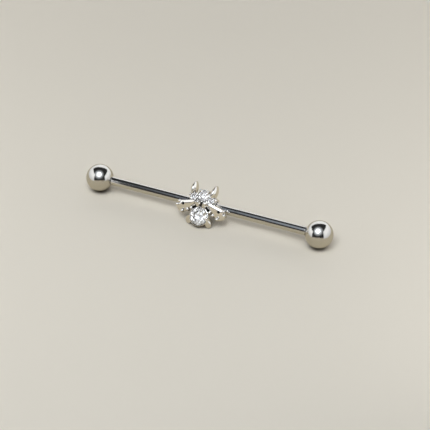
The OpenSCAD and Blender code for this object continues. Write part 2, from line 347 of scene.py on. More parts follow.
@dataclass(frozen=True)
class SurgicalSteel:
    """Surgical stainless steel, turned and mirror polished.

    The eye sees a neutral, slightly dark mirror. Polishing leaves marks along its lay, which soften
    the reflections and darken them a little, and handling leaves faint clouded patches. Grains and
    heights are in mm, and cloudy and worn say from which to which value of their noise they come in.
    """

    lay: Lay
    colour: str = "#dfdedb"
    worn_colour: str = "#d3d2cf"
    mirror: float = 0.1
    clouded: float = 0.14
    cloud_grain: float = 1.4
    cloudy: tuple[float, float] = (0.45, 0.75)
    worn: tuple[float, float] = (0.55, 0.8)
    smoother: float = 0.85
    rougher: float = 1.2
    mark_height: float = 0.0004

    def material(self) -> bpy.types.Material:
        """Builds the material: clouds and marks set the roughness, and marks a very low bump.

        Returns:
            The polished steel, with its marks along the lay.
        """
        material, tree, place = new_material(f"surgical steel polished {self.lay.name.lower()}")
        marks = stretched_noise(tree, place, self.lay.value, detail=4.0)
        clouds = stretched_noise(tree, place, (self.cloud_grain,) * 3, detail=2.0)
        soft = add_node(
            tree,
            "ShaderNodeMapRange",
            {"Value": clouds, "From Min": self.cloudy[0], "From Max": self.cloudy[1],
             "To Min": self.mirror, "To Max": self.clouded},
        )
        uneven = add_node(
            tree,
            "ShaderNodeMapRange",
            {"Value": marks, "From Min": NOISE_LOW, "From Max": NOISE_HIGH,
             "To Min": self.smoother, "To Max": self.rougher},
        )
        roughness = add_node(
            tree,
            "ShaderNodeMath",
            {0: soft.outputs["Result"], 1: uneven.outputs["Result"]},
            {"operation": "MULTIPLY"},
        )
        wear = add_node(
            tree, "ShaderNodeMapRange", {"Value": marks, "From Min": self.worn[0], "From Max": self.worn[1]}
        )
        colour = add_node(
            tree,
            "ShaderNodeMix",
            {"Factor": wear.outputs["Result"], 6: linear(self.colour), 7: linear(self.worn_colour)},
            {"data_type": "RGBA"},
        )
        bump = add_node(
            tree, "ShaderNodeBump", {"Strength": 1.0, "Distance": self.mark_height * MM, "Height": marks}
        )
        shader = add_node(
            tree,
            "ShaderNodeBsdfPrincipled",
            {"Base Color": colour.outputs[2], "Metallic": 1.0, "Roughness": roughness.outputs[0],
             "Normal": bump.outputs["Normal"]},
        )
        add_node(tree, "ShaderNodeOutputMaterial", {"Surface": shader.outputs["BSDF"]})
        return material


@dataclass(frozen=True)
class SilverPlate:
    """Cast brass, tumbled and silver plated.

    The eye sees a bright, slightly warm mirror with soft edges. The skin of the casting is gently
    uneven. Its corners are darkened and dulled by painted shade, mixed with some tarnishing of the
    silver. Grains, the skin's height and the reach are in mm. Walls of the casting within the reach close
    a corner, and corner gives how open a place is where the painted shade starts and where it is full.
    """

    colour: str = "#fbf9f5"
    shade_and_tarnish: str = "#2b2722"
    bright: float = 0.05
    dull: float = 0.28
    skin_grain: float = 0.45
    skin_height: float = 0.004
    corner_reach: float = 0.7
    corner: tuple[float, float] = (0.7, 0.36)
    corner_rays: int = 8
    patch_grain: float = 0.5
    thinner: float = 0.7
    thicker: float = 1.2

    def material(self) -> bpy.types.Material:
        """Builds the material: corners turn dull and dark, and the cast skin is a low bump.

        Returns:
            The plated casting's material.
        """
        material, tree, place = new_material("silver plate over cast brass")
        # Painted shade, with some tarnishing: corners shut in by the casting's own walls turn dark and dull.
        around = add_node(
            tree,
            "ShaderNodeAmbientOcclusion",
            {"Distance": self.corner_reach * MM},
            {"samples": self.corner_rays, "only_local": True},
        )
        corner_shade = add_node(
            tree,
            "ShaderNodeMapRange",
            {"Value": around.outputs["AO"], "From Min": self.corner[0], "From Max": self.corner[1]},
        )
        patchy = add_node(
            tree,
            "ShaderNodeMapRange",
            {"Value": stretched_noise(tree, place, (self.patch_grain,) * 3, detail=3.0),
             "From Min": NOISE_LOW, "From Max": NOISE_HIGH,
             "To Min": self.thinner, "To Max": self.thicker},
        )
        shade_and_tarnish_share = add_node(
            tree,
            "ShaderNodeMath",
            {0: corner_shade.outputs["Result"], 1: patchy.outputs["Result"]},
            {"operation": "MULTIPLY", "use_clamp": True},
        )
        roughness = add_node(
            tree,
            "ShaderNodeMapRange",
            {"Value": shade_and_tarnish_share.outputs[0], "To Min": self.bright, "To Max": self.dull},
        )
        # Painted shade mixed with tarnishing: the plate's colour turns dark where its corners are shut in.
        colour = add_node(
            tree,
            "ShaderNodeMix",
            {"Factor": shade_and_tarnish_share.outputs[0], 6: linear(self.colour), 7: linear(self.shade_and_tarnish)},
            {"data_type": "RGBA"},
        )
        skin = stretched_noise(tree, place, (self.skin_grain,) * 3, detail=2.0)
        bump = add_node(
            tree, "ShaderNodeBump", {"Strength": 1.0, "Distance": self.skin_height * MM, "Height": skin}
        )
        shader = add_node(
            tree,
            "ShaderNodeBsdfPrincipled",
            {"Base Color": colour.outputs[2], "Metallic": 1.0, "Roughness": roughness.outputs["Result"],
             "Normal": bump.outputs["Normal"]},
        )
        add_node(tree, "ShaderNodeOutputMaterial", {"Surface": shader.outputs["BSDF"]})
        return material


@dataclass(frozen=True)
class ClearCrystal:
    """Cubic zirconia, cut and polished, with mirror foil on its back.

    The eye sees sharp facets that flash white or go dark, because the stone bends light strongly and
    its back throws the light out again. A trace of polishing haze lies on the facets. The foil reaches
    up to the girdle: so many mm from the origin, in the direction out of the charm's face.
    """

    out: Vector
    girdle: float
    colour: str = "#fefefe"
    bending: float = 2.15
    haze: float = 0.02
    haze_grain: float = 0.4
    hazy: tuple[float, float] = (0.5, 0.8)
    foil_colour: str = "#f6f6f6"
    foil_grain: float = 0.04

    def material(self) -> bpy.types.Material:
        """Builds the material: clear and strongly bending above the girdles' plane, foil below it.

        Returns:
            The cut stones' material.
        """
        material, tree, place = new_material("cubic zirconia cut and polished on foil")
        roughness = add_node(
            tree,
            "ShaderNodeMapRange",
            {"Value": stretched_noise(tree, place, (self.haze_grain,) * 3, detail=2.0),
             "From Min": self.hazy[0], "From Max": self.hazy[1], "To Min": 0.0, "To Max": self.haze},
        )
        stone = add_node(
            tree,
            "ShaderNodeBsdfPrincipled",
            {"Base Color": linear(self.colour), "IOR": self.bending, "Transmission Weight": 1.0,
             "Roughness": roughness.outputs["Result"]},
        )
        foil = add_node(
            tree,
            "ShaderNodeBsdfPrincipled",
            {"Base Color": linear(self.foil_colour), "Metallic": 1.0, "Roughness": self.foil_grain},
        )
        height = add_node(
            tree, "ShaderNodeVectorMath", {0: place, 1: self.out}, {"operation": "DOT_PRODUCT"}
        )
        behind = add_node(
            tree,
            "ShaderNodeMath",
            {0: height.outputs["Value"], 1: self.girdle * MM},
            {"operation": "LESS_THAN"},
        )
        whole = add_node(
            tree,
            "ShaderNodeMixShader",
            {0: behind.outputs[0], 1: stone.outputs["BSDF"], 2: foil.outputs["BSDF"]},
        )
        add_node(tree, "ShaderNodeOutputMaterial", {"Surface": whole.outputs["Shader"]})
        return material


@dataclass
class Thread:
    """A fine screw thread, cut as a smooth wave."""

    pitch: float = 0.25
    depth: float = 0.1
    rows_per_turn: int = 12

    def rows(self, start: float, end: float) -> np.ndarray:
        """Places of the rows along a threaded stretch, enough of them to show each turn."""
        count = max(4, math.ceil(abs(end - start) / self.pitch * self.rows_per_turn))
        return np.linspace(start, end, count + 1)

    def groove(self, along: np.ndarray, start: float, end: float, columns: int) -> np.ndarray:
        """Depth of the groove at each row and column.

        Formula: half of one minus the cosine of the helix's phase, which is the place along over
        the pitch, less the turn, times the depth. It fades in and out over one pitch at each end.

        Args:
            along: place of each row on the axis.
            start: where the thread starts.
            end: where the thread ends.
            columns: number of points round.

        Returns:
            Rows by columns of depths, in mm.
        """
        turn = np.linspace(0, 1, columns, endpoint=False)
        phase = FULL_TURN * (along[:, None] / self.pitch - turn)
        fade = smooth_step((along - start) / self.pitch) * smooth_step((end - along) / self.pitch)
        return self.depth * (1 - np.cos(phase)) / 2 * fade[:, None]


def end_to_end(node: str) -> tuple[np.ndarray, np.ndarray]:
    """Middle and size of a CAD node's box, in mm."""
    low, high = (np.array(corner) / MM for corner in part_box(node))
    return (low + high) / 2, high - low


@dataclass
class Shaft:
    """The polished bar, with a chamfer at each end and a threaded stud standing out of it."""

    stud_d: float = 1.2
    stud_len: float = 2.1
    edge: float = 0.14
    ground_len: float = 10.8
    ground_depth: float = 0.02
    ground_taper: float = 0.6
    rounding: float = 0.05
    columns: int = 96
    crease: float = 30
    thread: Thread = field(default_factory=Thread)

    def __post_init__(self) -> None:
        """Takes the axis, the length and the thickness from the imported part."""
        self.centre, size = end_to_end("shaft")
        self.radius = size[2] / 2
        self.half_len = size[0] / 2 - self.stud_len

    def half_profile(self) -> np.ndarray:
        """Draws the right half's outline.

        Returns:
            Rows of (radius, place along) from the shaft's middle to the end of its right stud.
        """
        stud_r = self.stud_d / 2
        tip = self.half_len + self.stud_len
        thin = self.radius - self.ground_depth
        bar = eased(np.array([
            [thin, 0],
            [thin, self.ground_len / 2],
            [self.radius, self.ground_len / 2 + self.ground_taper],
            [self.radius, self.half_len - self.edge],
            [self.radius - self.edge, self.half_len],
            [stud_r, self.half_len],
        ]), self.rounding)
        turns = self.thread.rows(self.half_len, tip - self.edge)[1:]
        stud = np.stack([np.full(len(turns), stud_r), turns], axis=1)
        end = eased(np.array([
            [stud_r, tip - self.edge],
            [stud_r - self.edge, tip],
            [0, tip],
        ]), self.rounding)[1:]
        return np.concatenate([bar, stud, end])

    def build(self, material: bpy.types.Material) -> None:
        """Turns the whole bar: the half profile and its mirror image, less the threads' grooves.

        Args:
            material: the bar's finish.
        """
        half = self.half_profile()
        profile = np.concatenate([half[:0:-1] * (1, -1), half])
        along = profile[:, 1]
        reach = self.half_len + self.stud_len - self.edge
        groove = self.thread.groove(np.abs(along), self.half_len, reach, self.columns)
        left = along < 0
        groove[left] = groove[left][:, ::-1]
        off_axis = (profile[:, 0] > 0)[:, None]
        shell = turned(profile[:, :1] - groove * off_axis, along, self.columns)
        piece = mesh_piece("bar_with_studs", shell.moved(Matrix.Translation(self.centre) @ LIE_DOWN))
        shade(piece, self.crease)
        adopt(piece, "bar", "surgical_steel", material, "shaft")


@dataclass
class EndBall:
    """A polished ball with a flat seat and a blind threaded socket, screwed on one end."""

    side: Side
    seat_d: float = 1.6
    socket_r: float = 0.66
    socket_len: float = 2.53
    socket_edge: float = 0.08
    drill_tip: float = 0.15
    columns: int = 112
    arc_rows: int = 72
    crease: float = 30
    thread: Thread = field(default_factory=Thread)

    def __post_init__(self) -> None:
        """Names the node and takes the ball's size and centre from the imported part."""
        self.word = self.side.name.lower()
        middle, size = end_to_end(f"ball_{self.word}")
        self.radius = size[2] / 2
        outer = middle[0] + self.side.value * size[0] / 2
        self.centre = np.array([outer - self.side.value * self.radius, middle[1], middle[2]])

    def profile(self) -> tuple[np.ndarray, float, float]:
        """Draws the ball's outline.

        Returns:
            Rows of (radius, place along) from the socket's bottom to the ball's far pole, with 0 along
            at the ball's centre, and the two ends of the socket's thread.
        """
        seat = -math.sqrt(self.radius**2 - (self.seat_d / 2) ** 2)
        bottom = seat + self.socket_len
        mouth = seat + self.socket_edge
        turns = self.thread.rows(bottom, mouth)
        wall = np.stack([np.full(len(turns), self.socket_r), turns], axis=1)
        lip = np.array([[self.socket_r + self.socket_edge, seat]])
        start = math.asin(self.seat_d / 2 / self.radius)
        angle = np.linspace(start, math.pi, self.arc_rows)
        arc = self.radius * np.stack([np.sin(angle), -np.cos(angle)], axis=1)
        arc[-1, 0] = 0
        rows = np.concatenate([[[0, bottom + self.drill_tip]], wall, lip, arc])
        return rows, mouth, bottom

    def build(self, material: bpy.types.Material) -> None:
        """Turns the ball, cuts the thread into its socket's wall, and seats it on its end.

        Args:
            material: the ball's finish.
        """
        rows, mouth, bottom = self.profile()
        along = rows[:, 1]
        in_socket = np.isclose(rows[:, 0], self.socket_r)[:, None]
        groove = self.thread.groove(along, mouth, bottom, self.columns)
        shell = turned(rows[:, :1] + groove * in_socket, along, self.columns)
        facing = Matrix.Rotation(0 if self.side is Side.RIGHT else math.pi, 4, "Z")
        piece = mesh_piece(f"end_ball_{self.word}", shell.moved(
            Matrix.Translation(self.centre) @ facing @ LIE_DOWN
        ))
        shade(piece, self.crease)
        adopt(piece, f"end_ball_{self.word}", "surgical_steel", material, f"ball_{self.word}")


class Outline(Enum):
    """A leaf's outline from tip to far end: share of its length, of its half width and of its height.

    A claw's far end is round, and an ear's is pointed.
    """

    CLAW = (
        (0.00, 0.30, 0.78),
        (0.16, 0.58, 0.94),
        (0.36, 0.84, 1.00),
        (0.60, 1.00, 1.00),
        (0.80, 0.92, 0.96),
        (0.93, 0.66, 0.84),
        (1.00, 0.30, 0.62),
    )
    EAR = (
        (0.00, 0.50, 0.84),
        (0.18, 0.80, 0.94),
        (0.38, 1.00, 1.00),
        (0.60, 0.92, 0.98),
        (0.82, 0.60, 0.86),
        (1.00, 0.16, 0.70),
    )


@dataclass(frozen=True)
class Leaf:
    """A leaf with a flat underside and a flat along its ridge, for an ear or a claw.

    Fall is how much lower its far end is than its tip, as a share of its height.
    """

    length: float
    width: float
    height: float
    fall: float = 0.0
    ridge_share: float = 0.42
    shoulder: float = 0.62
    outline: Outline = Outline.CLAW
    rows: int = 40
    per_side: int = 8

    def shell(self) -> Shell:
        """Makes the leaf.

        Formula: the outline's shares are joined by a curve, and at each place along it the section is
        a six-sided outline, flat underneath, with upright sides and two slopes up to the ridge's flat.

        Returns:
            The leaf along +X, with the tip that lies on its stone at the origin.
        """
        share = np.linspace(0, 1, self.rows)
        places, widths, heights = np.array(self.outline.value).T
        half = through(places, widths, share) * self.width / 2
        high = through(places, heights, share) * self.height
        high = high * (1 - self.fall * share)
        flat, side = self.ridge_share, self.shoulder
        corners = np.array([[-1, 0], [1, 0], [1, side], [flat, 1], [-flat, 1], [-1, side], [-1, 0]])
        numbers = np.arange(len(corners))
        step = np.linspace(0, numbers[-1], numbers[-1] * self.per_side, endpoint=False)
        across = np.interp(step, numbers, corners[:, 0])
        up = np.interp(step, numbers, corners[:, 1])
        grid = np.stack([
            np.broadcast_to((share * self.length)[:, None], (self.rows, len(step))),
            half[:, None] * across,
            high[:, None] * up,
        ], axis=-1)
        return capped_grid(grid, grid[0].mean(axis=0), grid[-1].mean(axis=0))


@dataclass(frozen=True)
class SidePetal:
    """A domed petal beside the main stone, with a ridge near its upper edge and beads on its rim.

    Its own frame has its narrow end's middle at the origin, its length along +X and its back down.
    """

    radius: float = 1.1
    tip_r: float = 0.8
    reach: float = 2.3
    slope: float = 22
    inward: float = 0.26
    down: float = 0.26
    edge_h: float = 0.3
    ridge_h: float = 1.45
    ridge_fall: float = 0.45
    ridge_w: float = 0.42
    ridge_turn: float = 8
    ridge_inset: float = 0.15
    step: float = 0.1
    bead_d: float = 0.58
    bead_h: float = 0.8
    bead_inset: float = 0.14
    pit_d: float = 0.54
    pit_x: float = 2.0
    pit_y: float = 0.32
    pit_floor: float = 0.15
    pit_columns: int = 48
    bulge: float = 0.07
    columns: int = 160
    rows: int = 24

    # Columns: share of the reach and angle from the petal's length of each bead
    BEADS = ((1.00, 68), (1.00, 22), (1.00, -80), (0.66, -97), (0.32, -97))

    def belt(self, narrow: tuple[float, float], wide: tuple[float, float]) -> np.ndarray:
        """Goes once round two circles, as a belt lies round two wheels.

        Formula: for each direction the point lies on the circle that reaches further that way, its
        radius away from its middle in that direction. The middles lie at 0 and at the reach.

        Args:
            narrow: the inner circle's place across, and its radius.
            wide: the outer circle's place across, and its radius.

        Returns:
            Columns by 2, anticlockwise.
        """
        turn = np.linspace(0, FULL_TURN, self.columns, endpoint=False)
        direction = np.stack([np.cos(turn), np.sin(turn)], axis=1)
        middles = np.array([[0, narrow[0]], [self.reach, wide[0]]])
        radii = np.array([narrow[1], wide[1]])
        outer = np.argmax(direction @ middles.T + radii, axis=1)
        return middles[outer] + radii[outer][:, None] * direction

    def ridge_line(self, along: np.ndarray) -> np.ndarray:
        """Place across of the ridge's middle: a straight line from the narrow to the wide end."""
        inner = self.tip_r - self.ridge_inset - self.ridge_w / 2
        return inner + (self.radius - self.tip_r) * along / self.reach

    def dome(self) -> Shell:
        """Makes the petal's body.

        Formula: the rim is a belt round the two ends, upright up to the edge's height. From there
        each point runs to the point of the ridge's belt that faces the same way, in an arc that
        bulges a little over the straight line. The ridge's flat turns up the face.

        Returns:
            The body, in the petal's frame.
        """
        rim = self.belt((0, self.tip_r), (0, self.radius))
        inner, outer = self.ridge_line(np.array([0, self.reach]))
        top = self.belt((inner, self.ridge_w / 2), (outer, self.ridge_w / 2))
        drop = (top[:, 1] - self.ridge_line(top[:, 0])) * math.tan(math.radians(self.ridge_turn))
        share = np.linspace(0, 1, self.rows)[:, None]
        flat = rim * (1 - share[..., None]) + top * share[..., None]
        fall = self.ridge_fall * top[:, 0] / self.reach
        high = self.edge_h + (self.ridge_h - fall - drop - self.edge_h) * share
        high = high + self.bulge * 4 * share * (1 - share)
        slope = np.concatenate([flat, high[..., None]], axis=-1)
        foot = np.concatenate([rim, np.zeros((self.columns, 1))], axis=1)
        middle = self.reach / 2
        crest = self.ridge_line(np.array([middle]))[0]
        return capped_grid(
            np.concatenate([foot[None], slope]),
            np.array([middle, 0, 0]),
            np.array([middle, crest, self.ridge_h - self.ridge_fall / 2]),
        )

    def shells(self) -> list[Shell]:
        """Makes all that stands out of the petal's back plane.

        Returns:
            The dome, and its beads on their posts, in the petal's frame.
        """
        shells = [self.dome()]
        for share, angle in self.BEADS:
            out = self.tip_r + share * (self.radius - self.tip_r) - self.bead_inset
            spot = (
                Matrix.Translation((share * self.reach, 0, 0))
                @ Matrix.Rotation(math.radians(angle), 4, "Z")
                @ Matrix.Translation((out, 0, 0))
            )
            shells.append(domed_post(self.bead_d / 2, 0, self.bead_h).moved(spot))
        return shells

    def pit(self) -> Shell:
        """Makes the round pit sunk into the slope beside the ridge.

        Returns:
            The space that it takes out of the dome, in the petal's frame.
        """
        radius = self.pit_d / 2
        rows = np.array([[0, self.pit_floor], [radius, self.pit_floor], [radius, self.ridge_h],
                         [0, self.ridge_h]])
        spot = Matrix.Translation((self.pit_x, self.pit_y, 0))
        return turned(rows[:, 0], rows[:, 1], self.pit_columns).moved(spot)


def domed_post(radius: float, foot: float, top: float, rows: int = 12, columns: int = 32) -> Shell:
    """Makes an upright round post with half a ball on it.

    Args:
        radius: radius of the post and the ball.
        foot: height of the post's foot.
        top: height of the ball's middle.
        rows: number of rows in the half ball.
        columns: number of points round.

    Returns:
        The closed shell, on Z.
    """
    turn = np.linspace(0, math.pi / 2, rows)
    radii = np.concatenate([[0, radius], radius * np.cos(turn)])
    radii[-1] = 0
    heights = np.concatenate([[foot, foot], top + radius * np.sin(turn)])
    return turned(radii, heights, columns)


def through(places: np.ndarray, values: np.ndarray, at: np.ndarray) -> np.ndarray:
    """Joins values by a smooth curve.

    Formula: on each stretch a cubic runs between the two values, and its slopes at them are those of
    the line between each one's neighbours.

    Args:
        places: where the values stand, rising.
        values: what the curve passes through.
        at: where it is read.

    Returns:
        The curve's value at each place read.
    """
    slopes = np.gradient(values, places)
    i = np.clip(np.searchsorted(places, at, side="right") - 1, 0, len(places) - 2)
    span = places[i + 1] - places[i]
    t = (at - places[i]) / span
    rise = smooth_step(t)
    return (
        values[i] * (1 - rise) + values[i + 1] * rise
        + span * (slopes[i] * t * (1 - t) ** 2 - slopes[i + 1] * t * t * (1 - t))
    )


@dataclass(frozen=True)
class Seat:
    """Where a stone sits in the charm's face: x along the shaft, y up the face, and its diameter."""

    x: float
    y: float
    d: float


@dataclass
class CharmSetting:
    """The cast setting: four cups, two side petals, ears, claws, beads and the sleeve on the shaft.

    Its own frame has x along the shaft, y up the charm's face and z out of it, from the shaft's axis.
    """

    shift: float = -0.4
    shaft_r: float = 0.8
    sleeve_len: float = 3.2
    sleeve_wall: float = 0.42
    sleeve_gap: float = 0.03
    cup_back_gap: float = 0.15
    main_d: float = 3.2
    main_drop: float = 2.3
    top_d: float = 2.0
    stone_bridge: float = 1.15
    flank_d: float = 1.4
    flank_space: float = 0.1
    flank_angle: float = 18
    girdle_rise: float = 1.02
    girdle_t: float = 0.08
    stone_gap: float = 0.03
    table_share: float = 0.56
    crown_share: float = 0.16
    pavilion_share: float = 0.43
    cup_wall: float = 0.18
    cup_rim_drop: float = 0.05
    cup_hole_share: float = 0.5
    hole_top_share: float = 0.6
    ear_len: float = 2.3
    ear_w: float = 0.96
    ear_rise: float = 1.75
    ear_lift: float = 0.5
    ear_angle: float = 74
    ear_lean: float = 3
    ear_fall: float = 0.2
    ear_ridge_share: float = 0.25
    ear_shoulder: float = 0.74
    claw_len: float = 1.9
    claw_w: float = 1.12
    claw_angle: float = -8
    claw_slope: float = 70
    claw_fall: float = 0.8
    claw_rise: float = 0.42
    bridge_claw_angle: float = 74
    bridge_claw_len: float = 1.45
    bridge_claw_w: float = 1.15
    bridge_claw_climb: float = 0.5
    grip: float = 0.14
    prong_d: float = 0.55
    prong_rise: float = 0.26
    top_prong_angle: float = 50
    flank_prong_angle: float = 20
    lip: float = 0.07
    facets: int = 8
    mid_crown_reach: float = 1.03
    mid_crown_rise: float = 0.56
    hole_overrun: float = 0.2
    columns: int = 96
    hole_columns: int = 64
    voxel: float = 0.047
    softening: float = 0.5
    smoothing: int = 4
    crease: float = 45
    petal: SidePetal = field(default_factory=SidePetal)

    def __post_init__(self) -> None:
        """Works out the stones' places, and the lean at which the main cup's back meets the floor."""
        self.back = self.shaft_r + self.cup_back_gap
        self.girdle = self.back + self.girdle_rise
        main_y = -self.main_drop
        top_y = main_y + self.main_d / 2 + self.stone_bridge + self.top_d / 2
        pitch = self.top_d / 2 + self.flank_space + self.flank_d / 2
        tilt = math.radians(self.flank_angle)
        flank_x = pitch * math.cos(tilt)
        flank_y = top_y - pitch * math.sin(tilt)
        self.main = Seat(0, main_y, self.main_d)
        self.top = Seat(0, top_y, self.top_d)
        self.flanks = (Seat(flank_x, flank_y, self.flank_d), Seat(-flank_x, flank_y, self.flank_d))
        low_y = self.main_d / 2 + self.cup_wall - main_y
        axis, _ = end_to_end("shaft")
        lean = math.asin(axis[2] / math.hypot(low_y, self.back)) + math.atan2(self.back, low_y)
        self.place = Matrix.Translation((self.shift, axis[1], axis[2])) @ Matrix.Rotation(lean, 4, "X")

    def girdle_plane(self) -> tuple[Vector, float]:
        """The direction out of the charm's face, and how far that way the girdles' lower edges lie."""
        out = self.place.to_3x3() @ Vector((0, 0, 1))
        return out, (self.place @ Vector((0, 0, self.girdle - self.girdle_t / 2))).dot(out)

    def seats(self) -> tuple[Seat, ...]:
        """All the stones' seats."""
        return (self.main, self.top, *self.flanks)

    def cup(self, seat: Seat) -> Shell:
        """Makes a stone's cup before its seat is cut: a short turned post with rounded edges.

        Args:
            seat: the stone's seat.

        Returns:
            The cup, in the charm's frame.
        """
        radius = seat.d / 2 + self.cup_wall
        rim = self.girdle - self.cup_rim_drop
        rows = eased(np.array([[0, self.back], [radius, self.back], [radius, rim], [0, rim]]), self.lip)
        return turned(rows[:, 0], rows[:, 1], self.columns).moved(Matrix.Translation((seat.x, seat.y, 0)))

    def stone_space(self, seat: Seat) -> Shell:
        """Makes the round space that a stone and its gap take out of the casting.

        Formula: the outline of the stone's corners, moved out by the gap, turned round. The table's
        corners lie at its half width over the cosine of half a facet's turn.

        Args:
            seat: the stone's seat.

        Returns:
            The space, in the charm's frame.
        """
        d, gap = seat.d, self.stone_gap
        table = d / 2 * self.table_share / math.cos(math.pi / self.facets)
        mid_crown = d / 2 * (self.table_share + 1) / 2 * self.mid_crown_reach
        crown_z = self.girdle_t / 2 + d * self.crown_share
        pavilion_z = self.girdle_t / 2 + d * self.pavilion_share
        rows = np.array([
            [0, -pavilion_z - gap],
            [d / 2 + gap, -self.girdle_t / 2 - gap],
            [d / 2 + gap, self.girdle_t / 2 + gap],
            [mid_crown + gap, self.girdle_t / 2 + d * self.crown_share * self.mid_crown_rise + gap],
            [table + gap, crown_z + gap],
            [0, crown_z + gap],
        ])
        spot = Matrix.Translation((seat.x, seat.y, self.girdle))
        return turned(rows[:, 0], rows[:, 1], self.columns).moved(spot)

    def cup_hole(self, seat: Seat) -> Shell:
        """Makes the round hole through a cup's back, up into the space for its stone.

        Args:
            seat: the stone's seat.

        Returns:
            The hole, in the charm's frame, starting a little behind the back.
        """
        radius = seat.d * self.cup_hole_share / 2
        top = self.girdle - seat.d * self.pavilion_share * self.hole_top_share
        low = self.back - self.hole_overrun
        rows = np.array([[0, low], [radius, low], [radius, top], [0, top]])
        return turned(rows[:, 0], rows[:, 1], self.hole_columns).moved(
            Matrix.Translation((seat.x, seat.y, 0))
        )

    def prong(self, seat: Seat, angle: float) -> Shell:
        """Makes a small round claw.

        Args:
            seat: the seat of the stone that it holds.
            angle: where round the stone it stands, in degrees above level.

        Returns:
            The claw, in the charm's frame.
        """
        radius = self.prong_d / 2
        out = seat.d / 2 + radius - self.grip
        spot = Matrix.Translation((seat.x, seat.y, 0)) @ Matrix.Rotation(math.radians(angle), 4, "Z")
        post = domed_post(radius, self.back, self.girdle + self.prong_rise)
        return post.moved(spot @ Matrix.Translation((out, 0, 0)))

    def beside(self, seat: Seat, angle: float, heading: float) -> Matrix:
        """The place of a leaf that grips a stone.

        Args:
            seat: the stone's seat.
            angle: where round the stone the leaf's tip stands, in degrees above level.
            heading: which way the leaf points, in degrees above level.

        Returns:
            The matrix that carries a leaf there.
        """
        return (
            Matrix.Translation((seat.x, seat.y, self.back))
            @ Matrix.Rotation(math.radians(angle), 4, "Z")
            @ Matrix.Translation((seat.d / 2 - self.grip, 0, 0))
            @ Matrix.Rotation(math.radians(heading - angle), 4, "Z")
        )

    def petal_place(self) -> Matrix:
        """Works out where the right petal lies, with its narrow end under the flank cup.

        Returns:
            The matrix that carries the petal's frame into the charm's.
        """
        flank, petal = self.flanks[0], self.petal
        low = flank.y - flank.d / 2 - self.cup_wall - petal.down
        return (
            Matrix.Translation((flank.x - petal.inward, low, self.back + petal.step))
            @ Matrix.Rotation(math.radians(-petal.slope), 4, "Z")
        )

    def side(self, side: Side) -> list[Shell]:
        """Makes the side petal with its beads, the ear and the claws of one side.

        Args:
            side: which side. The left one is the right one's mirror image.

        Returns:
            The side's shells, in the charm's frame.
        """
        flank = self.flanks[0]
        ear_h = self.girdle_rise + self.ear_rise - self.ear_lift
        ear = Leaf(self.ear_len, self.ear_w, ear_h, self.ear_fall, self.ear_ridge_share, self.ear_shoulder,
                   Outline.EAR)
        ear_foot = Matrix.Translation((0, 0, self.ear_lift))
        high = self.girdle_rise + self.claw_rise
        low_claw = Leaf(self.claw_len, self.claw_w, high, self.claw_fall)
        high_claw = Leaf(self.bridge_claw_len, self.bridge_claw_w, high, -self.bridge_claw_climb)
        placed = [shell.moved(self.petal_place()) for shell in self.petal.shells()]
        placed += [
            ear.shell().moved(ear_foot @ self.beside(flank, self.ear_angle, 90 - self.ear_lean)),
            low_claw.shell().moved(self.beside(self.main, -self.claw_angle, -self.claw_slope)),
            high_claw.shell().moved(
                self.beside(self.main, self.bridge_claw_angle, self.bridge_claw_angle)
            ),
        ]
        return [shell.moved(side.mirror()) for shell in placed]

    def along_shaft(self, radius: float, length: float) -> Shell:
        """Makes a closed round bar on the shaft's axis, for the sleeve or for its bore.

        Args:
            radius: the bar's radius.
            length: its length, half to each side of the charm's middle.

        Returns:
            The bar, with rounded edges, in the charm's frame.
        """
        rows = eased(np.array([[0, -length / 2], [radius, -length / 2], [radius, length / 2],
                               [0, length / 2]]), self.lip)
        return turned(rows[:, 0], rows[:, 1], self.columns).moved(LIE_DOWN)

    def casting(self) -> list[Shell]:
        """Makes every raised form of the casting.

        Returns:
            The forms, which overlap, in the charm's frame.
        """
        sleeve_r = self.shaft_r + self.sleeve_gap + self.sleeve_wall
        forms = [self.along_shaft(sleeve_r, self.sleeve_len)]
        forms += [self.cup(seat) for seat in self.seats()]
        forms += [self.prong(self.top, angle) for angle in (self.top_prong_angle, 180 - self.top_prong_angle)]
        forms += [
            self.prong(self.flanks[0], self.flank_prong_angle),
            self.prong(self.flanks[1], 180 - self.flank_prong_angle),
        ]
        return forms + self.side(Side.RIGHT) + self.side(Side.LEFT)

    def cuts(self) -> list[Shell]:
        """Makes everything that is bored or cut after casting.

        Returns:
            The bore, the stones' seats, the holes behind them and the petals' pits.
        """
        bore = self.along_shaft(self.shaft_r + self.sleeve_gap, 2 * self.sleeve_len)
        seats = self.seats()
        pit = self.petal.pit().moved(self.petal_place())
        pits = [pit.moved(side.mirror()) for side in (Side.RIGHT, Side.LEFT)]
        spaces = [self.stone_space(seat) for seat in seats] + [self.cup_hole(seat) for seat in seats]
        return [bore, *spaces, *pits]

    def build(self, material: bpy.types.Material) -> None:
        """Fuses the forms into one skin, softens it as tumbling does, and cuts the seats into it.

        Args:
            material: the casting's finish.
        """
        piece = mesh_piece("charm_casting", joined(self.casting()).moved(self.place))
        fuse = piece.modifiers.new("fuse", "REMESH")
        fuse.mode = "VOXEL"
        fuse.voxel_size = self.voxel * MM
        soften = piece.modifiers.new("soften", "SMOOTH")
        soften.factor = self.softening
        soften.iterations = self.smoothing
        settle(piece)
        for number, cut in enumerate(self.cuts()):
            cutter = mesh_piece(f"cutter_{number}", cut.moved(self.place))
            bite = piece.modifiers.new("cut", "BOOLEAN")
            bite.operation = "DIFFERENCE"
            bite.solver = "MANIFOLD"
            bite.object = cutter
            settle(piece)
            spent = cutter.data
            bpy.data.objects.remove(cutter)
            bpy.data.meshes.remove(spent)
        shade(piece, self.crease)
        adopt(piece, "bar", "silver_plate", material, "charm_setting")


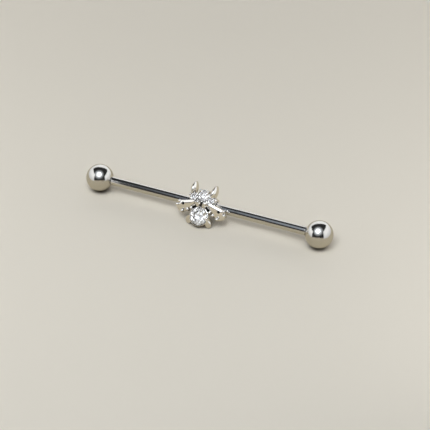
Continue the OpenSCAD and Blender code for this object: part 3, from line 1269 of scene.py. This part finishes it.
@dataclass
class Stones:
    """The four cut stones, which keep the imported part's own facets."""

    nodes: tuple[str, ...] = ("main_stone", "top_stone", "flank_stone_left", "flank_stone_right")

    def dress(self, material: bpy.types.Material) -> None:
        """Gives each stone its clear finish.

        Args:
            material: what the stones are made of.
        """
        for name in self.nodes:
            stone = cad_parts[name]
            stone.data.materials.clear()
            stone.data.materials.append(material)
            log.info("%s: %d faces, keeps its own form", name, len(stone.data.polygons))


@dataclass
class PhotoCamera:
    """The camera, at the angle and distance that put the barbell where the photograph shows it."""

    elevation: float = 38
    azimuth: float = 23
    distance: float = 300
    frame_px: float = 430
    px_per_mm: float = 5.573
    subject_px: tuple[float, float] = (207.2, 205.35)
    sensor: float = 36
    near: float = 10
    far: float = 20000

    def build(self) -> None:
        """Aims the camera so that the middle between the balls lands on its place in the frame."""
        up_angle, turn = math.radians(self.elevation), math.radians(self.azimuth)
        away = Vector((
            math.sin(turn) * math.cos(up_angle), -math.cos(turn) * math.cos(up_angle), math.sin(up_angle)
        ))
        facing = away.to_track_quat("Z", "Y")
        right, up = facing @ Vector((1, 0, 0)), facing @ Vector((0, 1, 0))
        middle, _ = end_to_end("shaft")
        off_x = (self.frame_px / 2 - self.subject_px[0]) / self.px_per_mm
        off_y = (self.subject_px[1] - self.frame_px / 2) / self.px_per_mm
        aim = Vector(middle) + right * off_x + up * off_y
        data = bpy.data.cameras.new("photo_camera")
        data.sensor_width = self.sensor
        data.lens = self.px_per_mm * self.distance * self.sensor / self.frame_px
        data.clip_start = self.near * MM
        data.clip_end = self.far * MM
        camera = bpy.data.objects.new("photo_camera", data)
        camera.location = (aim + away * self.distance) * MM
        camera.rotation_mode = "QUATERNION"
        camera.rotation_quaternion = facing
        bpy.context.scene.collection.objects.link(camera)
        bpy.context.scene.camera = camera
        log.info("camera: %.1f mm lens at %.0f mm", data.lens, self.distance)


@dataclass
class Studio:
    """A pale floor, a round lamp above, and a white folding screen on three sides.

    The front is closed by a low beige apron. The ceiling is dark, but lighter through the stones, and
    what the camera sees past the floor is pale. All sizes are in mm.

    The floor takes a painted contact shade, darkening towards its colour where the barbell shuts it in
    from within the nook's size, and shut_in gives how open it is where the painted shade is darkest and
    where the floor is unshaded. A card glows less at its foot. Sideways gives at which shares of X in the
    way out to the card its foot glows as the back's and as the sides' do, and high_rise its height, as a
    share of that way, where it glows fully.
    """

    floor_colour: str = "#f2ebdc"
    mirrored_floor: str = "#d2c5a9"
    painted_contact_shade: str = "#2c2013"
    floor_roughness: float = 0.85
    nook: float = 4
    nook_rays: int = 12
    shut_in: tuple[float, float] = (0.2, 0.52)
    sideways: tuple[float, float] = (0.35, 0.8)
    high_rise: float = 0.45
    disc_corners: int = 96
    floor_half: float = 2000
    floor_drop: float = 0.01
    surround: str = "#cfc9bd"
    ceiling: str = "#ececec"
    ceiling_glow: float = 0.03
    ceiling_through_stones: float = 0.6
    lamp_at: tuple[float, float, float] = (7, -99, 200)
    lamp_radius: float = 60
    lamp_glow: float = 3.0
    rim_radius: float = 240
    rim_glow: float = 2.35
    rim_fade: float = 2.5
    lamp_colour: str = "#f8fbff"
    bounce_radius: float = 165
    bounce_glow: float = 0.65
    bounce_fade: float = 1.3
    bounce_behind: float = 6
    bounce_colour: str = "#dce6f4"
    screen_glow: float = 1.08
    side_foot: float = 0.6
    back_foot: float = 0.92
    screen_colour: str = "#ffffff"
    apron_glow: float = 0.65
    apron_colour: str = "#fff0d8"

    # Corners of the screen's top edge in mm, from its left front end round the back to its right one
    SCREEN = np.array([
        [-68, -106, 10],
        [-65, -62, 80],
        [-161, 74, 82],
        [-137, 379, 407],
        [111, 284, 148],
        [75, -22, 68],
        [67, -32, 9],
    ])
    # Corners of the apron's top edge in mm, from its right end across the front to its left end
    APRON = np.array([
        [330, -110, 25],
        [126, -293, 64],
        [-190, -330, 25],
    ])

    def staged(
        self, name: str, points: np.ndarray, faces: list[tuple[int, ...]], material: bpy.types.Material
    ) -> bpy.types.Object:
        """Makes a mesh of the studio, which isn't part of the barbell.

        Args:
            name: the object's name.
            points: its corners, in mm.
            faces: its faces, by corner number.
            material: what it is made of.

        Returns:
            The new object.
        """
        mesh = bpy.data.meshes.new(name)
        mesh.from_pydata((points * MM).tolist(), [], faces)
        mesh.materials.append(material)
        thing = bpy.data.objects.new(name, mesh)
        bpy.context.scene.collection.objects.link(thing)
        return thing

    def floor(self) -> None:
        """Lays the floor just under the part, so that the two never share a plane.

        The metal mirrors it in a browner colour, as the photograph's metal mirrors a warmer surface.
        """
        material, tree, _ = new_material("matte pale board")
        mirrored = add_node(tree, "ShaderNodeLightPath").outputs["Is Glossy Ray"]
        unshaded_floor = add_node(
            tree,
            "ShaderNodeMix",
            {"Factor": mirrored, 6: linear(self.floor_colour), 7: linear(self.mirrored_floor)},
            {"data_type": "RGBA"},
        )
        # Painted contact shade: where the barbell shuts the floor in, its colour turns towards a dark brown.
        open_sky = add_node(
            tree,
            "ShaderNodeAmbientOcclusion",
            {"Distance": self.nook * MM},
            {"samples": self.nook_rays},
        )
        dark = add_node(
            tree,
            "ShaderNodeMapRange",
            {"Value": open_sky.outputs["AO"], "From Min": self.shut_in[0], "From Max": self.shut_in[1],
             "To Min": 1.0, "To Max": 0.0},
        )
        # Painted contact shade: the floor's colour mixes towards a dark brown by how shut in it is.
        colour = add_node(
            tree,
            "ShaderNodeMix",
            {"Factor": dark.outputs["Result"], 6: unshaded_floor.outputs[2], 7: linear(self.painted_contact_shade)},
            {"data_type": "RGBA"},
        )
        shader = add_node(tree, "ShaderNodeBsdfPrincipled",
                          {"Base Color": colour.outputs[2], "Roughness": self.floor_roughness})
        add_node(tree, "ShaderNodeOutputMaterial", {"Surface": shader.outputs["BSDF"]})
        corners = np.array([[-1, -1, 0], [1, -1, 0], [1, 1, 0], [-1, 1, 0]]) * self.floor_half
        self.staged("floor", corners - [0, 0, self.floor_drop], [(0, 1, 2, 3)], material)

    def glowing(self, name: str, colour: str, glow: float) -> bpy.types.Material:
        """Builds the material of a card that glows less towards its foot, at the sides most.

        Args:
            name: the material's name.
            colour: the card's colour.
            glow: its glow where it stands high over the barbell.

        Returns:
            The material.
        """
        material, tree, place = new_material(name)
        across = add_node(tree, "ShaderNodeVectorMath", {0: place, 1: (1, 1, 0)}, {"operation": "MULTIPLY"})
        away = add_node(tree, "ShaderNodeVectorMath", {0: across.outputs[0]}, {"operation": "LENGTH"})
        up = add_node(tree, "ShaderNodeSeparateXYZ", {"Vector": place})
        rise = add_node(tree, "ShaderNodeMath", {0: up.outputs["Z"], 1: away.outputs["Value"]},
                        {"operation": "DIVIDE"})
        sideways = add_node(tree, "ShaderNodeMath", {0: up.outputs["X"], 1: away.outputs["Value"]},
                            {"operation": "DIVIDE"})
        share = add_node(tree, "ShaderNodeMath", {0: sideways.outputs[0]}, {"operation": "ABSOLUTE"})
        foot = add_node(
            tree,
            "ShaderNodeMapRange",
            {"Value": share.outputs[0], "From Min": self.sideways[0], "From Max": self.sideways[1],
             "To Min": glow * self.back_foot, "To Max": glow * self.side_foot},
        )
        strength = add_node(
            tree,
            "ShaderNodeMapRange",
            {"Value": rise.outputs[0], "From Max": self.high_rise, "To Min": foot.outputs["Result"],
             "To Max": glow},
        )
        light = add_node(
            tree, "ShaderNodeEmission", {"Color": linear(colour), "Strength": strength.outputs["Result"]}
        )
        add_node(tree, "ShaderNodeOutputMaterial", {"Surface": light.outputs["Emission"]})
        return material

    def standing(self, name: str, top: np.ndarray, material: bpy.types.Material) -> None:
        """Stands a folding card on the floor, unseen by the camera itself.

        Args:
            name: the card's name.
            top: the corners of its top edge, in mm, with a fold under each inner one.
            material: what it is made of.
        """
        count = len(top)
        faces = [(i, i + 1, count + i + 1, count + i) for i in range(count - 1)]
        card = self.staged(name, np.concatenate([top, top * (1, 1, 0)]), faces, material)
        card.visible_camera = False

    def disc(
        self, name: str, radius: float, glow: float, fade: float, colour: str,
        behind: float = 0, core: float = 0,
    ) -> bpy.types.Object:
        """Hangs a glowing disc over the part, facing it.

        Formula: the glow falls with the place out from the middle, as one minus its share of the
        radius to the power of fade, and inside the core the lamp's own glow comes on top. Light from
        behind passes through the cloth.

        Args:
            name: the disc's name.
            radius: its radius, in mm.
            glow: its glow in the middle, without the core's.
            fade: the power.
            colour: its colour.
            behind: how far it hangs behind the lamp's place, in mm.
            core: the core's radius, in mm, or 0 for a disc without one.

        Returns:
            The disc.
        """
        middle = Vector(self.lamp_at) + Vector(self.lamp_at).normalized() * behind
        material, tree, place = new_material(f"{name} cloth")
        apart = add_node(tree, "ShaderNodeVectorMath", {0: place, 1: middle * MM}, {"operation": "DISTANCE"})
        share = add_node(
            tree,
            "ShaderNodeMapRange",
            {"Value": apart.outputs["Value"], "From Max": radius * MM, "To Min": 1.0, "To Max": 0.0},
        )
        steep = add_node(
            tree, "ShaderNodeMath", {0: share.outputs["Result"], 1: fade}, {"operation": "POWER"}
        )
        rim = add_node(tree, "ShaderNodeMath", {0: steep.outputs[0], 1: glow}, {"operation": "MULTIPLY"})
        inside = add_node(
            tree, "ShaderNodeMath", {0: apart.outputs["Value"], 1: core * MM}, {"operation": "LESS_THAN"}
        )
        strength = add_node(
            tree,
            "ShaderNodeMath",
            {0: inside.outputs[0], 1: self.lamp_glow, 2: rim.outputs[0]},
            {"operation": "MULTIPLY_ADD"},
        )
        light = add_node(
            tree, "ShaderNodeEmission", {"Color": linear(colour), "Strength": strength.outputs[0]}
        )
        clear = add_node(tree, "ShaderNodeBsdfTransparent")
        cloth = add_node(
            tree, "ShaderNodeAddShader", {0: light.outputs["Emission"], 1: clear.outputs["BSDF"]}
        )
        add_node(tree, "ShaderNodeOutputMaterial", {"Surface": cloth.outputs["Shader"]})
        turn = np.linspace(0, FULL_TURN, self.disc_corners, endpoint=False)
        ring = radius * np.stack([np.cos(turn), np.sin(turn), np.zeros_like(turn)], axis=1)
        facing = np.array(middle.to_track_quat("Z", "Y").to_matrix())
        disc = self.staged(
            name, ring @ facing.T + np.array(middle), [tuple(range(self.disc_corners))], material
        )
        disc.visible_camera = False
        return disc

    def lamp(self) -> None:
        """Hangs the lamp, which is kept off the bar, and a faint glow behind it for the bar too."""
        lamp = self.disc("round_lamp", self.rim_radius, self.rim_glow, self.rim_fade, self.lamp_colour,
                         core=self.lamp_radius)
        kept_off = bpy.data.collections.new("kept off the bar")
        kept_off.objects.link(bpy.data.objects["bar_with_studs"])
        kept_off.collection_objects[0].light_linking.link_state = "EXCLUDE"
        lamp.light_linking.receiver_collection = kept_off
        self.disc("lamp_bounce", self.bounce_radius, self.bounce_glow, self.bounce_fade,
                  self.bounce_colour, self.bounce_behind)

    def world(self) -> None:
        """Makes the ceiling, dark in the metal and lighter through the stones, and the pale surround."""
        world = bpy.data.worlds.new("studio_room")
        world.use_nodes = True
        tree = world.node_tree
        tree.nodes.clear()
        path = add_node(tree, "ShaderNodeLightPath")
        glow = add_node(
            tree,
            "ShaderNodeMapRange",
            {"Value": path.outputs["Is Transmission Ray"],
             "To Min": self.ceiling_glow, "To Max": self.ceiling_through_stones},
        )
        ceiling = add_node(
            tree,
            "ShaderNodeBackground",
            {"Color": linear(self.ceiling), "Strength": glow.outputs["Result"]},
        )
        pale = add_node(tree, "ShaderNodeBackground", {"Color": linear(self.surround), "Strength": 1.0})
        mix = add_node(
            tree,
            "ShaderNodeMixShader",
            {0: path.outputs["Is Camera Ray"], 1: ceiling.outputs["Background"],
             2: pale.outputs["Background"]},
        )
        add_node(tree, "ShaderNodeOutputWorld", {"Surface": mix.outputs["Shader"]})
        bpy.context.scene.world = world

    def build(self) -> None:
        """Sets up everything that isn't part of the barbell."""
        self.floor()
        self.lamp()
        self.standing("white_screen", self.SCREEN,
                      self.glowing("white screen cloth", self.screen_colour, self.screen_glow))
        self.standing("beige_apron", self.APRON,
                      self.glowing("beige card", self.apron_colour, self.apron_glow))
        self.world()
        bpy.context.scene.view_settings.view_transform = "Standard"


def main() -> None:
    """Builds the barbell piece by piece, then the studio."""
    logging.basicConfig(level=logging.INFO, format="%(name)s: %(message)s")
    PhotoCamera().build()
    ball_steel = SurgicalSteel(Lay.EVERY_WAY, mirror=0.12, clouded=0.17).material()
    Shaft().build(SurgicalSteel(Lay.ROUND_THE_SHAFT).material())
    for side in Side:
        EndBall(side).build(ball_steel)
    setting = CharmSetting()
    setting.build(SilverPlate().material())
    Stones().dress(ClearCrystal(*setting.girdle_plane()).material())
    Studio().build()


if __name__ == "__main__":
    main()
